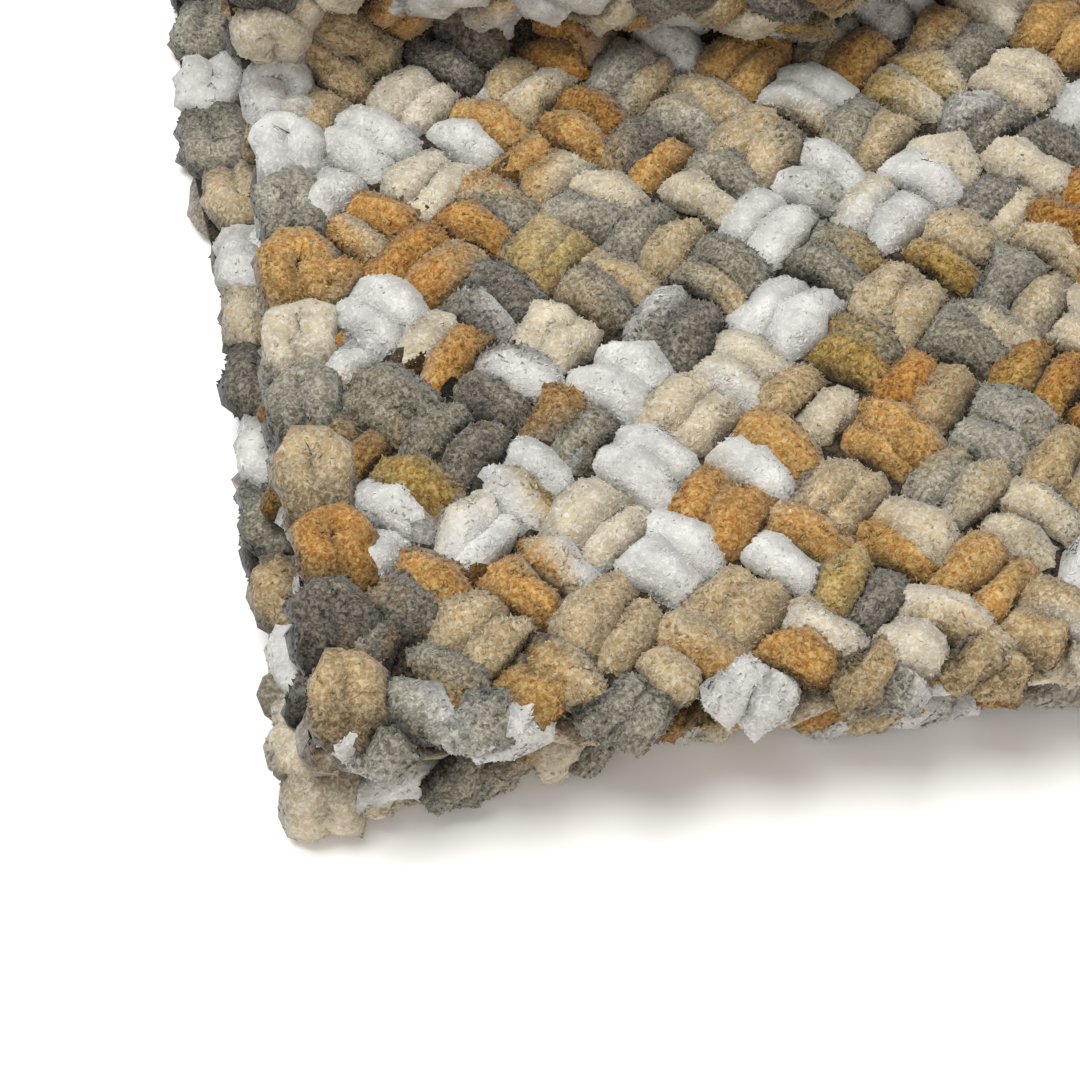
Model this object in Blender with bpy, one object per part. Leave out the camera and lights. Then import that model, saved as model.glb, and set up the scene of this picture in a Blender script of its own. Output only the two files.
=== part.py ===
"""Chunky knit blanket of thick chenille yarn: one length of cloth folded in half, lying on its underside.

The cloth is swept from one back-and-forth section. The section starts at the near edge of the upper
layer, runs away over the lower layer, is tucked up into an overhanging pleat, comes down again, turns
at the far fold and comes back underneath to the near edge of the lower layer. X is across the cloth,
Y is away from the near edges and Z is up.
"""

import math

import bpy
import numpy as np

MM = 0.001

# The knitted cloth
STITCH = 12.7 * MM  # across, from one stitch to the next
ROW = 12.0 * MM  # along, from one row to the next
STITCHES = 23  # steps between the first and the last plaited column
SELVEDGE = 25.0 * MM  # from a side edge to the nearest plaited column
EDGE_STITCH = 1.5 * ROW  # the length of a chained stitch on a side edge
WIDTH = 2 * SELVEDGE + STITCHES * STITCH
THICK = 17.0 * MM
HALF = THICK / 2

# The lying folds
LAYER_GAP = 1.5 * MM  # air between the layers
LOWER_Z = HALF
UPPER_Z = LOWER_Z + THICK + LAYER_GAP
FOLD_REACH = 272.0 * MM  # along the upper layer's plan, from the near edge's middle line to the fold
FOLD_RADIUS = (UPPER_Z - LOWER_Z) / 2
FOOT_RADIUS = 14.0 * MM  # where the pleat comes down onto the lower layer

# The pleat in the upper layer, from the left edge to the right. "start" is where the cloth turns up,
# from the near edge, "lean" is how far it turns, 90 being upright, and "fall" is its slope behind.
PLEAT_COLUMNS = ("across", "start", "lean", "hollow", "wall", "crest", "fall")
PLEAT = (
    (0, 159, 80, 12.5, 15, 12.5, 58),
    (22, 166, 102, 11.5, 9, 11.5, 60),
    (48, 173.5, 134, 10.5, 5, 10.5, 62),
    (80, 169.5, 145, 10.5, 4, 10, 63),
    (110, 165.5, 147, 10.5, 5, 10, 63),
    (127, 160, 146, 10.5, 6, 10, 62),
    (143, 167, 141, 10.5, 6, 10.5, 62),
    (162, 172, 136, 10.5, 6, 11, 61),
    (195, 181, 126, 11, 7, 11.5, 60),
    (250, 192, 118, 11.5, 7, 12, 58),
    (300, 193, 112, 12, 6, 12, 57),
    (342, 186, 104, 12, 6, 12, 56),
)

# The two near edges, which aren't quite straight: how far each stays behind the near line
NEAR_COLUMNS = ("across", "upper", "lower")
NEAR = (
    (0, 0.5, 0),
    (25, 1.5, 0),
    (48, 2, 4),
    (70, -1, 7),
    (95, 0.5, 9.5),
    (120, 1.5, 6),
    (150, 2, 7.5),
    (190, 3.5, 8),
    (250, 1, 4),
    (342, 2, 5),
)

# How far the cloth has strayed sideways, by the distance along it from the upper near edge
STRAY_COLUMNS = ("along", "stray")
STRAY = (
    (0, 0),
    (170, 0),
    (260, -3),
    (330, -13),
    (390, -16),
    (500, -9.5),
    (545, -8.5),
    (575, -5.5),
    (600, -5.5),
    (640, -9),
)

# How uneven it lies
WAVE = 1.2 * MM  # the height of the upper layer's ripples, and how far the side edges waver
RIPPLE_ACROSS = 38 * MM  # a ripple's length across the cloth, for each radian
RIPPLE_ALONG = 27 * MM  # and along it
RIPPLE_START = 1.0  # radians, at the left edge
RIPPLE_END = 60 * MM  # the ripples die away over this length before the far fold
WAVER = 19 * MM  # the length of the side edges' wavering, for each radian
SCALLOP = 0.9 * MM  # how far each edge stitch bulges

# How finely the solid is made
MOVE_STEPS = (21, 7, 1, 9, 5, 3, 8)  # along each move of the upper layer
STEPS_FOLD = 8
STEPS_LOWER = 13
EDGE_STEPS = (0.6, 2.6, 6.0)  # mm from a side edge, where the rounded edge is drawn
END_ANGLES = (62, 22, -22, -62)  # degrees round a near edge


def from_table(rows, columns, name, at):
    """A column read at distances given in metres, on a smooth curve through the table's rows."""
    table = np.array(rows, float)
    x, y = table[:, 0], table[:, columns.index(name)]
    slope = np.gradient(y, x)
    at = np.clip(np.asarray(at, float) / MM, x[0], x[-1])
    i = np.clip(np.searchsorted(x, at, side="right") - 1, 0, len(x) - 2)
    width = x[i + 1] - x[i]
    u = (at - x[i]) / width
    rise = y[i] * (1 - u) ** 2 * (1 + 2 * u) + y[i + 1] * u**2 * (3 - 2 * u)
    return rise + width * u * (1 - u) * (slope[i] * (1 - u) - slope[i + 1] * u)


def upper_moves(across):
    """The upper layer at one place across, as (length, turn) moves: a run has no turn, an arc has one."""
    pleat = {c: float(from_table(PLEAT, PLEAT_COLUMNS, c, across)) for c in PLEAT_COLUMNS}
    lean, fall = math.radians(pleat["lean"]), math.radians(pleat["fall"])
    start, hollow, wall, crest = (pleat[c] * MM for c in ("start", "hollow", "wall", "crest"))
    height = hollow * (1 - math.cos(lean)) + wall * math.sin(lean) + crest * (math.cos(fall) - math.cos(lean))
    slope = (height - FOOT_RADIUS * (1 - math.cos(fall))) / math.sin(fall)
    reach = start + hollow * math.sin(lean) + wall * math.cos(lean) + crest * (math.sin(lean) + math.sin(fall))
    reach += slope * math.cos(fall) + FOOT_RADIUS * math.sin(fall)
    return [
        (start - near_edge("upper", across), 0),
        (hollow * lean, lean),
        (wall, 0),
        (crest * (lean + fall), -lean - fall),
        (slope, 0),
        (FOOT_RADIUS * fall, fall),
        (FOLD_REACH - reach, 0),
    ]


def near_edge(layer, across):
    """How far a layer's near edge stays behind the near line."""
    return float(from_table(NEAR, NEAR_COLUMNS, layer, across)) * MM


def trace(moves, at, y):
    """Follow the moves from (y, UPPER_Z): the place (y, z) and the heading at each distance in at."""
    z, heading, done = UPPER_Z, 0.0, 0.0
    place = np.zeros((3, len(at)))
    for length, turn in moves:
        here = (at >= done) & (at <= done + length + 1e-9)
        step = at[here] - done
        ahead = heading + turn * step / length
        if turn:
            radius = length / turn
            place[:, here] = (
                y + radius * (np.sin(ahead) - math.sin(heading)),
                z - radius * (np.cos(ahead) - math.cos(heading)),
                ahead,
            )
            y += radius * (math.sin(heading + turn) - math.sin(heading))
            z -= radius * (math.cos(heading + turn) - math.cos(heading))
        else:
            place[:, here] = y + step * math.cos(heading), z + step * math.sin(heading), ahead
            y += length * math.cos(heading)
            z += length * math.sin(heading)
        heading += turn
        done += length
    return place


def section(across):
    """The middle line of the cloth at one place across: y, z, heading and distance along at each step."""
    moves = upper_moves(across) + [
        (math.pi * FOLD_RADIUS, -math.pi),
        (FOLD_REACH - near_edge("lower", across), 0),
    ]
    at, done = [np.zeros(1)], 0.0
    for (length, turn), steps in zip(moves, MOVE_STEPS + (STEPS_FOLD, STEPS_LOWER)):
        at.append(done + length * np.arange(1, steps + 1) / steps)
        done += length
    at = np.concatenate(at)
    return (*trace(moves, at, HALF + near_edge("upper", across)), at)


def uneven(across, along, upper):
    """How far the upper layer is lifted off the lower one by its own unevenness."""
    ripple = 1 + np.sin(across / RIPPLE_ACROSS + RIPPLE_START) * np.sin(along / RIPPLE_ALONG)
    return WAVE / 2 * ripple * np.clip((upper - along) / RIPPLE_END, 0, 1)


def ring(across):
    """One closed ring round the cloth at a place across: over its face, round an end, back inside it."""
    inner = min(across, WIDTH - across)
    rim = math.sqrt(1 - (1 - min(inner, HALF) / HALF) ** 2)
    y, z, heading, along = section(across)
    z = z + uneven(across, along, along[sum(MOVE_STEPS)])
    face = np.stack([-np.sin(heading), np.cos(heading)])
    line = np.stack([y, z])
    over = line + face * rim * HALF
    under = line - face * rim * HALF
    ends = []
    for at, way in ((-1, 1), (0, -1)):
        for angle in END_ANGLES:
            a = math.radians(angle)
            out = way * np.array([math.cos(heading[at]), math.sin(heading[at])])
            ends.append(line[:, at] + HALF * rim * (math.cos(a) * out + way * math.sin(a) * face[:, at]))
    half = len(END_ANGLES)
    path = np.concatenate([over.T, ends[:half], under.T[::-1], ends[half:]])
    strays = np.concatenate([along, [along[-1]] * half, along[::-1], [0] * half])
    side = 1 if across > WIDTH / 2 else -1
    bulge = side * SCALLOP * max(0, 1 - inner / SELVEDGE)
    x = across + from_table(STRAY, STRAY_COLUMNS, "stray", strays) * MM
    x = x + bulge * np.cos(2 * math.pi * strays / EDGE_STITCH) + WAVE * np.sin(strays / WAVER)
    return np.column_stack([x, path])


def blanket_mesh():
    """Rings joined across the cloth, and closed at both side edges."""
    edge = [s * MM for s in EDGE_STEPS]
    inner = [SELVEDGE + i * STITCH for i in range(-1, STITCHES + 2)]
    stations = edge + inner + [WIDTH - s for s in reversed(edge)]
    rings = [ring(across) for across in stations]
    n = len(rings[0])
    points = np.concatenate(rings)
    low, high = points.min(0), points.max(0)
    points -= [(low[0] + high[0]) / 2, (low[1] + high[1]) / 2, low[2]]
    faces = []
    for k in range(len(rings) - 1):
        for i in range(n):
            j = (i + 1) % n
            faces.append((k * n + i, (k + 1) * n + i, (k + 1) * n + j, k * n + j))
    ends = len(END_ANGLES)
    along = (n - 2 * ends) // 2
    last = (len(rings) - 1) * n
    for i in range(along - 1):
        a, b, c, d = i, i + 1, n - ends - 2 - i, n - ends - 1 - i
        faces.append((a, b, c, d))
        faces.append((last + d, last + c, last + b, last + a))
    far = tuple(range(along - 1, along + ends + 1))
    near = tuple(range(n - ends - 1, n)) + (0,)
    for cap in (far, near):
        faces.append(cap)
        faces.append(tuple(last + i for i in reversed(cap)))
    return points, faces


def yarn_material():
    """Soft chenille yarn: matt, with the sheen of a short pile."""
    yarn = bpy.data.materials.new("chenille_yarn")
    yarn.use_nodes = True
    shader = yarn.node_tree.nodes["Principled BSDF"]
    shader.inputs["Base Color"].default_value = (0.52, 0.42, 0.29, 1)
    shader.inputs["Roughness"].default_value = 0.95
    shader.inputs["Sheen Weight"].default_value = 0.4
    return yarn


def build():
    for thing in list(bpy.data.objects):
        bpy.data.objects.remove(thing)
    home = bpy.data.collections.new("chunky_knit_blanket")
    bpy.context.scene.collection.children.link(home)
    points, faces = blanket_mesh()
    mesh = bpy.data.meshes.new("blanket")
    mesh.from_pydata(points.tolist(), [], faces)
    mesh.validate()
    mesh.materials.append(yarn_material())
    mesh.shade_smooth()
    blanket = bpy.data.objects.new("blanket", mesh)
    home.objects.link(blanket)


build()
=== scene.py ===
"""Chunky knit blanket: the plump chenille stitches, the chained side edges and the roped near
edges, on the folded cloth.

Places on the cloth are given as (s, k, lift): s counts the plaited columns from the left, k
counts the rows of stitches from the upper near edge along the outer face, and lift is the height
in metres above the cloth's middle surface, towards its outer face.
"""

import math

import bpy
import numpy as np
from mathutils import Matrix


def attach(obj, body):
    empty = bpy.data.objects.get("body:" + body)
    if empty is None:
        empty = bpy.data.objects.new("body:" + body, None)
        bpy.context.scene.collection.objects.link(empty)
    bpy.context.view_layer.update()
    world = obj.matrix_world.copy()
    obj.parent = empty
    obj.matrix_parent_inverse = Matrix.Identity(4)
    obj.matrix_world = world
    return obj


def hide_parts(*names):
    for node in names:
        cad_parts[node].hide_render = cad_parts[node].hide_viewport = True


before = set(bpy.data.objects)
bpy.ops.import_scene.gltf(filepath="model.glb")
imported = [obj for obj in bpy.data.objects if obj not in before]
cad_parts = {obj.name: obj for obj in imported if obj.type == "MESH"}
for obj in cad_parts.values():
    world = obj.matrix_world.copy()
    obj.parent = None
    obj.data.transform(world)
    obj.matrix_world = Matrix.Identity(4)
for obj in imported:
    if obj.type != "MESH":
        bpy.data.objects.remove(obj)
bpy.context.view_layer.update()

MM = 0.001

# ---- the folded cloth, as in the part's source ----
STITCH = 12.7 * MM
ROW = 12.0 * MM
STITCHES = 23
SELVEDGE = 25.0 * MM
WIDTH = 2 * SELVEDGE + STITCHES * STITCH
THICK = 17.0 * MM
HALF = THICK / 2
LAYER_GAP = 1.5 * MM
LOWER_Z = HALF
UPPER_Z = LOWER_Z + THICK + LAYER_GAP
FOLD_REACH = 272.0 * MM
FOLD_RADIUS = (UPPER_Z - LOWER_Z) / 2
FOOT_RADIUS = 14.0 * MM
PLEAT_COLUMNS = ("across", "start", "lean", "hollow", "wall", "crest", "fall")
PLEAT = (
    (0, 159, 80, 12.5, 15, 12.5, 58),
    (22, 166, 102, 11.5, 9, 11.5, 60),
    (48, 173.5, 134, 10.5, 5, 10.5, 62),
    (80, 169.5, 145, 10.5, 4, 10, 63),
    (110, 165.5, 147, 10.5, 5, 10, 63),
    (127, 160, 146, 10.5, 6, 10, 62),
    (143, 167, 141, 10.5, 6, 10.5, 62),
    (162, 172, 136, 10.5, 6, 11, 61),
    (195, 181, 126, 11, 7, 11.5, 60),
    (250, 192, 118, 11.5, 7, 12, 58),
    (300, 193, 112, 12, 6, 12, 57),
    (342, 186, 104, 12, 6, 12, 56),
)
NEAR_COLUMNS = ("across", "upper", "lower")
NEAR = (
    (0, 0.5, 0),
    (25, 1.5, 0),
    (48, 2, 4),
    (70, -1, 7),
    (95, 0.5, 9.5),
    (120, 1.5, 6),
    (150, 2, 7.5),
    (190, 3.5, 8),
    (250, 1, 4),
    (342, 2, 5),
)
STRAY_COLUMNS = ("along", "stray")
STRAY = (
    (0, 0),
    (170, 0),
    (260, -3),
    (330, -13),
    (390, -16),
    (500, -9.5),
    (545, -8.5),
    (575, -5.5),
    (600, -5.5),
    (640, -9),
)
WAVE = 1.2 * MM
RIPPLE_ACROSS, RIPPLE_ALONG, RIPPLE_START, RIPPLE_END = 38 * MM, 27 * MM, 1.0, 60 * MM
WAVER = 19 * MM
UPPER_MOVES = 7  # how many of the section's moves come before the far fold
ORIGIN = (164.240 * MM, 148.935 * MM)  # the part's middle, in the tables' own measure

# ---- how the stitches lie on it ----
BEYOND = 30.0 * MM  # how far the middle surface goes on past the near edges, for what wraps them
OUTER = 6.5 * MM  # the height above the middle surface at which rows are evenly spaced
FIRST_ROW = 2.8 * MM  # from the near edge's middle line to the first row
FLAT_ROWS = 13  # rows at exactly one pitch, before the pleat
ROWS = 53  # rows in all, from the upper near edge to the lower one
LAST_ROW = 2.8 * MM
GRID_S, GRID_K = 0.25, 0.1  # steps of the worked-out surface, in columns and rows
S_FROM, S_TO = -4.5, 27.5  # where it begins and ends
K_FROM, K_TO = -2.4, ROWS + 1.4
TRACE_STEP = 0.5 * MM  # and the step at which each of its sections is traced
NO_LENGTH = 1e-9  # a length too short to matter


# ---------------------------------------------------------------- the middle surface

def from_table(rows, columns, name, at):
    """A column read at distances given in metres: a cubic Hermite curve through the rows, with
    the slopes that np.gradient gives."""
    table = np.array(rows, float)
    x, y = table[:, 0], table[:, columns.index(name)]
    slope = np.gradient(y, x)
    at = np.clip(np.asarray(at, float) / MM, x[0], x[-1])
    i = np.clip(np.searchsorted(x, at, side="right") - 1, 0, len(x) - 2)
    width = x[i + 1] - x[i]
    u = (at - x[i]) / width
    rise = y[i] * (1 - u) ** 2 * (1 + 2 * u) + y[i + 1] * u**2 * (3 - 2 * u)
    return rise + width * u * (1 - u) * (slope[i] * (1 - u) - slope[i + 1] * u)


def near_edge(layer, across):
    """How far a layer's near edge stays behind the near line."""
    return from_table(NEAR, NEAR_COLUMNS, layer, across) * MM


def cloth_moves(across):
    """The section at one place across, as (length, turn) moves from the upper near edge to the
    lower one. The pleat's height is that of its hollow, wall and crest together, and the slope
    behind it is as long as brings the cloth down again to the layer it left."""
    pleat = {c: float(from_table(PLEAT, PLEAT_COLUMNS, c, across)) for c in PLEAT_COLUMNS}
    lean, fall = math.radians(pleat["lean"]), math.radians(pleat["fall"])
    start, hollow, wall, crest = (pleat[c] * MM for c in ("start", "hollow", "wall", "crest"))
    height = hollow * (1 - math.cos(lean)) + wall * math.sin(lean)
    height += crest * (math.cos(fall) - math.cos(lean))
    slope = (height - FOOT_RADIUS * (1 - math.cos(fall))) / math.sin(fall)
    reach = start + hollow * math.sin(lean) + wall * math.cos(lean)
    reach += crest * (math.sin(lean) + math.sin(fall))
    reach += slope * math.cos(fall) + FOOT_RADIUS * math.sin(fall)
    return [
        (start - float(near_edge("upper", across)), 0),
        (hollow * lean, lean),
        (wall, 0),
        (crest * (lean + fall), -lean - fall),
        (slope, 0),
        (FOOT_RADIUS * fall, fall),
        (FOLD_REACH - reach, 0),
        (math.pi * FOLD_RADIUS, -math.pi),
        (FOLD_REACH - float(near_edge("lower", across)), 0),
    ]


def trace(moves, at, y, z):
    """The place (y, z) and the heading at each distance: straight runs, and arcs whose radius is
    the length over the turn."""
    heading, done = 0.0, 0.0
    place = np.zeros((3, len(at)))
    for length, turn in moves:
        here = (at >= done - NO_LENGTH) & (at <= done + length + NO_LENGTH)
        step = at[here] - done
        ahead = heading + turn * step / length
        if turn:
            radius = length / turn
            place[:, here] = (
                y + radius * (np.sin(ahead) - math.sin(heading)),
                z - radius * (np.cos(ahead) - math.cos(heading)),
                ahead,
            )
            y += radius * (math.sin(heading + turn) - math.sin(heading))
            z -= radius * (math.cos(heading + turn) - math.cos(heading))
        else:
            place[:, here] = y + step * math.cos(heading), z + step * math.sin(heading), ahead
            y += length * math.cos(heading)
            z += length * math.sin(heading)
        heading += turn
        done += length
    return place


def cloth_surface():
    """The middle surface on a grid of columns and rows. At each column the section is traced with
    a straight run added at both ends; a point's row comes from its length along the outer face,
    which is the middle line's length less OUTER times the heading; the normal is the cross
    product of the grid's own differences along s and along k."""
    rows = np.arange(K_FROM, K_TO + GRID_K / 2, GRID_K)
    points = []
    for s in np.arange(S_FROM, S_TO + GRID_S / 2, GRID_S):
        across = SELVEDGE + s * STITCH
        near = float(near_edge("upper", across))
        moves = cloth_moves(across)
        total = sum(length for length, turn in moves)
        upper = sum(length for length, turn in moves[:UPPER_MOVES])
        moves = [(BEYOND, 0)] + moves + [(BEYOND, 0)]
        at = np.arange(0, total + 2 * BEYOND, TRACE_STEP)
        y, z, heading = trace(moves, at, HALF + near - BEYOND, UPPER_Z)
        along = at - BEYOND
        outer = along - OUTER * heading + near - FIRST_ROW
        last = total + OUTER * math.pi + near - FIRST_ROW - LAST_ROW
        flat = FLAT_ROWS * ROW
        pitch = (last - flat) / (ROWS - 1 - FLAT_ROWS)
        row = np.where(outer < flat, outer / ROW, FLAT_ROWS + (outer - flat) / pitch)
        ripple = 1 + math.sin(across / RIPPLE_ACROSS + RIPPLE_START) * np.sin(along / RIPPLE_ALONG)
        z = z + WAVE / 2 * ripple * np.clip((upper - along) / RIPPLE_END, 0, 1)
        x = across + from_table(STRAY, STRAY_COLUMNS, "stray", along) * MM
        x = x + WAVE * np.sin(along / WAVER)
        place = (x - ORIGIN[0], y - ORIGIN[1], z)
        points.append(np.stack([np.interp(rows, row, c) for c in place], -1))
    points = np.array(points)
    normal = np.cross(np.gradient(points, axis=0), np.gradient(points, axis=1))
    return points, normal / np.linalg.norm(normal, axis=-1, keepdims=True)


SURFACE, NORMAL = cloth_surface()


def read_grid(grid, s, k):
    """Bilinear reading of a grid at columns s and rows k, kept just inside the grid's far
    sides."""
    i = np.clip((s - S_FROM) / GRID_S, 0, grid.shape[0] - 1.001)
    j = np.clip((k - K_FROM) / GRID_K, 0, grid.shape[1] - 1.001)
    a, b = i.astype(int), j.astype(int)
    u, v = (i - a)[..., None], (j - b)[..., None]
    low = grid[a, b] * (1 - u) + grid[a + 1, b] * u
    high = grid[a, b + 1] * (1 - u) + grid[a + 1, b + 1] * u
    return low * (1 - v) + high * v


def unit(v):
    """Vectors at a length of one."""
    return v / np.maximum(np.linalg.norm(v, axis=-1, keepdims=True), 1e-12)


def on_cloth(s, k, lift):
    """Points at (s, k) raised by lift along the surface's normal."""
    s, k, lift = np.broadcast_arrays(s, k, lift)
    return read_grid(SURFACE, s, k) + lift[..., None] * unit(read_grid(NORMAL, s, k))


# ---------------------------------------------------------------- the dyed yarn

DYES = {
    "white": "FCFCFA",
    "cream": "F6EEDD",
    "beige": "E7D7B8",
    "gold": "E6BF7B",
    "caramel": "D6B06C",
    "olive": "DBC488",
    "grey": "C8C4B6",
    "ash": "AFA99E",
}
INNER_SHADE = "5A4E3F"  # painted shade: the inner yarn as dark as the shade it lies in, between the stitches
REFLECTED = 0.56  # the share of the light that crushed, shaded pile sends back
# One repeat of the dyed yarn, as (dye, stitches); dipped by hand, so no two repeats are alike
DYE_REPEAT = (
    ("white", 1.6),
    ("cream", 1.1),
    ("gold", 1.2),
    ("grey", 1.0),
    ("beige", 1.3),
    ("olive", 0.6),
    ("white", 1.4),
    ("ash", 0.8),
    ("cream", 1.1),
    ("caramel", 0.6),
    ("beige", 1.0),
    ("gold", 1.0),
    ("grey", 0.5),
)
# How the same yarn's dyes fall at the left edge, stitch by stitch: up from the upper near corner,
# and down to the lower one
UPPER_EDGE_DYES = (
    "beige", "ash", "gold", "beige", "grey", "cream",
    "gold", "grey", "white", "white", "cream", "ash",
)
LOWER_EDGE_DYES = (
    "cream", "ash", "grey", "white", "grey", "beige", "white", "cream", "ash",
    "white", "grey", "beige", "white", "cream", "cream", "white", "beige",
)
UPPER_EDGE_YARN, LOWER_EDGE_YARN = 999.5, 1099.5  # where those runs begin along the yarn
YARN_LONG = 3000  # the dyed yarn's length, in stitches
DYE_SEED = 333
DYE_LENGTHS = (0.65, 1.35)  # the shortest and longest dip, as shares of its length in the repeat
DYE_STRENGTHS = (0.8, 1.3)  # the palest and richest dip, as the power that its colour is raised to
DYE_BLEED = 0.11  # how far a dye runs into the next, in stitches
DYE_TWIST = 0.16  # how much sooner one side of the yarn takes the next dye, in stitches


def linear(code):
    """An sRGB hex colour as linear red, green and blue."""
    c = np.array([int(code[i : i + 2], 16) for i in (0, 2, 4)]) / 255
    return np.where(c <= 0.04045, c / 12.92, ((c + 0.055) / 1.055) ** 2.4)


def dye_line(stitches):
    """The dyes along the yarn: the repeat's entries in a shuffled order, each length varied by a
    third, with the two edge runs set in where the left edge is knitted. Each dip comes out a
    little richer or paler than the last, as the colour to a power near one."""
    rng = np.random.default_rng(DYE_SEED)
    names, ends = [], [0.0]
    charted = [(UPPER_EDGE_YARN, UPPER_EDGE_DYES), (LOWER_EDGE_YARN, LOWER_EDGE_DYES)]
    while ends[-1] < stitches:
        for i in rng.permutation(len(DYE_REPEAT)):
            names.append(DYE_REPEAT[i][0])
            ends.append(ends[-1] + DYE_REPEAT[i][1] * rng.uniform(*DYE_LENGTHS))
            if charted and ends[-1] > charted[0][0]:
                start, run = charted.pop(0)
                ends[-1] = start
                names += run
                ends += [start + place + 1 for place in range(len(run))]
    colours = np.array([linear(DYES[name]) ** rng.uniform(*DYE_STRENGTHS) for name in names])
    return colours, np.array(ends[:-1])


DYE_COLOURS, DYE_STARTS = dye_line(YARN_LONG)


def dye_at(yarn):
    """The colour at places along the yarn, in stitches: each dye runs into the next over the
    bleed, half and half where they meet."""
    i = np.searchsorted(DYE_STARTS, yarn, side="right") - 1
    before, after = np.maximum(i - 1, 0), np.minimum(i + 1, len(DYE_STARTS) - 1)
    ways = (yarn - DYE_STARTS[i], DYE_STARTS[after] - yarn)
    back, on = (np.clip(0.5 - way / (2 * DYE_BLEED), 0, 0.5)[..., None] for way in ways)
    return DYE_COLOURS[i] * (1 - back - on) + DYE_COLOURS[before] * back + DYE_COLOURS[after] * on


# ---------------------------------------------------------------- strands of yarn

# Places along a strand, from -1 to 1, with its thickness there: a short leg, and a long loop
LEG_RINGS = np.array([-1, -0.93, -0.72, -0.43, -0.14, 0.14, 0.43, 0.72, 0.93, 1.0])
LEG_PLUMP = np.array([0, 0.62, 0.88, 0.99, 1.0, 1.0, 0.99, 0.88, 0.62, 0])
LOOP_RINGS = np.array([
    -1, -0.96, -0.84, -0.69, -0.54, -0.39, -0.25, -0.09,
    0.09, 0.25, 0.39, 0.54, 0.69, 0.84, 0.96, 1,
])
LOOP_PLUMP = np.array([0, 0.6, 0.9, 1, 1, 1, 1, 1, 1, 1, 1, 1, 1, 0.9, 0.6, 0])
UNEVEN_RING, UNEVEN_SIDE, UNEVEN_DYE = 0.10, 0.12, 0.04  # how much rings, radii and colour vary

# Painted shade: how the dye is darkened towards the foot of the pile, and where it is
BRIGHTNESS = (0.25, 0.6, 0.15)  # the shares of red, green and blue in a dye's brightness
DEEP_BRIGHT, DEEP_SPREAD, DEEP_POWER = 0.75, 0.18, 1.4
CREASE_SIDE, CREASE_SIDE_WIDE = 0.95, 0.85  # the angle's sine where it starts, and its range
CREASE_END, CREASE_END_WIDE, CREASE_END_MOST = 0.45, 0.35, 0.8  # the same along it, and its most

# A curl of pile
CURL_LONG = 2.0 * MM
CURL_WIDE = 0.5 * MM
CURL_SIZES = (0.75, 1.25)  # the smallest and largest, as shares of those
CURL_FEET = (0, 2.1, 4.2)  # the three feet's angles round it, in radians
CURL_STANDS = 0.72 * MM
CURL_HEIGHTS = (0.3, 1.4)  # the lowest and highest, as shares of that
CURL_FLUFFY = 1.35  # how much fluffier dark dyes are; white lies smoother by its brightness squared
CURL_SUNK = 0.18 * MM  # how deep in the strand its underside is
CURL_STRAYS, CURL_DYE_STRAYS = 0.06, 0.05  # how far it strays round the strand, and along the yarn
CURL_TONES, CURL_TIP_TONES = (0.95, 1.12), (1.0, 1.12)  # darkest and palest, and the same for the painted highlight on a tip
FOOT_DARK, FOOT_WHITE = 0.52, 0.43  # painted shade at a curl's foot: its share of the tip's colour, and what white adds to it
GOLDEN = 0.6180339887  # the golden ratio's fraction
FLOOR_ROOM = 0.3 * MM  # the lowest stitches are pressed flat this far above the floor


def vary(rng, amount, *shape):
    """Small seeded differences, never more than twice the amount."""
    return amount * np.clip(rng.standard_normal(shape), -2, 2)


def painted_pile_shade(dye):
    """Painted shade: the darker, richer colour that the same dye shows at the foot of the pile,
    where little light reaches. Pale dyes and strong colours let more light through than greys, so
    the share kept rises with the square of the dye's brightness and with the spread between its
    channels."""
    bright = (dye * BRIGHTNESS).sum(-1, keepdims=True)
    spread = dye.max(-1, keepdims=True) - dye.min(-1, keepdims=True)
    return (DEEP_BRIGHT * bright**2 + DEEP_SPREAD * spread) * dye**DEEP_POWER


def crease_shade_share(angle, u):
    """How deep a place lies between strands, from 0 to 1, which is the share of painted shade
    there: it grows down a strand's sides, as a smooth step of the angle's sine, and towards the
    ends, which dive under the neighbours."""
    low = np.clip((CREASE_SIDE - np.sin(angle)) / CREASE_SIDE_WIDE, 0, 1)
    end = np.clip((np.abs(u) - CREASE_END) / CREASE_END_WIDE, 0, 1)
    return np.clip(low * low * (3 - 2 * low) + CREASE_END_MOST * end, 0, 1)


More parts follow.
